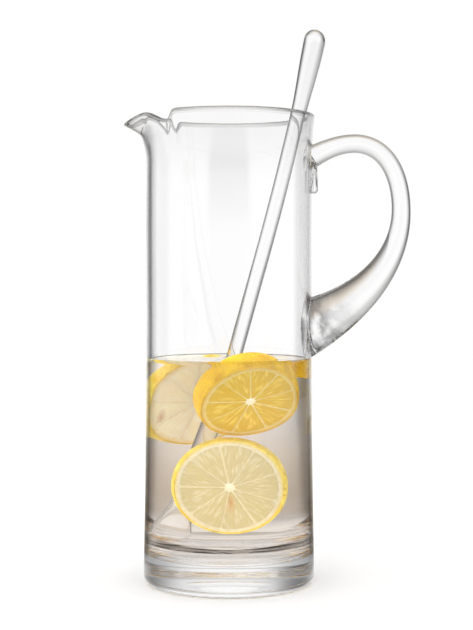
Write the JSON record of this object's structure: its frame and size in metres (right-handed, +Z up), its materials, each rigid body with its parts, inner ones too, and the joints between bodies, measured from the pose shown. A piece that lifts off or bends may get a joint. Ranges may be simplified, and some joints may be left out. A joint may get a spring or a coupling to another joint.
{
  "type": "cocktail pitcher",
  "caption": "Tall clear glass cocktail pitcher with a heavy base, pinched pouring lip and applied handle, holding a drink with lemon wheels and a glass stirrer that lifts out.",
  "frame": {"origin": "on the jug's own axis, in the plane of the ring of the base that stands on the table", "axes": "+Z is up along the jug's axis, +X points to the handle, and -X to the pouring lip"},
  "size_m": [0.1594, 0.0952, 0.3064],
  "materials": {
    "clear_glass": "polished",
    "clear_drink": "gloss",
    "lemon_peel": "satin",
    "lemon_pith": "matte",
    "lemon_pulp": "gloss"
  },
  "bodies": {
    "jug": {"pitcher_body": "clear_glass", "handle": "clear_glass", "drink": "clear_drink", "front_slice_peel": "lemon_peel", "front_slice_pith": "lemon_pith", "front_slice_segments": "lemon_pulp", "middle_slice_peel": "lemon_peel", "middle_slice_pith": "lemon_pith", "middle_slice_segments": "lemon_pulp", "left_slice_peel": "lemon_peel", "left_slice_pith": "lemon_pith", "left_slice_segments": "lemon_pulp", "right_slice_peel": "lemon_peel", "right_slice_pith": "lemon_pith", "right_slice_segments": "lemon_pulp"},
    "stirring_rod": {"stirrer": "clear_glass"}
  },
  "joints": [
    {"name": "stirrer_lift", "type": "slide", "parent": "jug", "child": "stirring_rod", "axis": [0, 0, 1], "range_m": [0, 0.25], "deforming": ["drink"]}
  ]
}
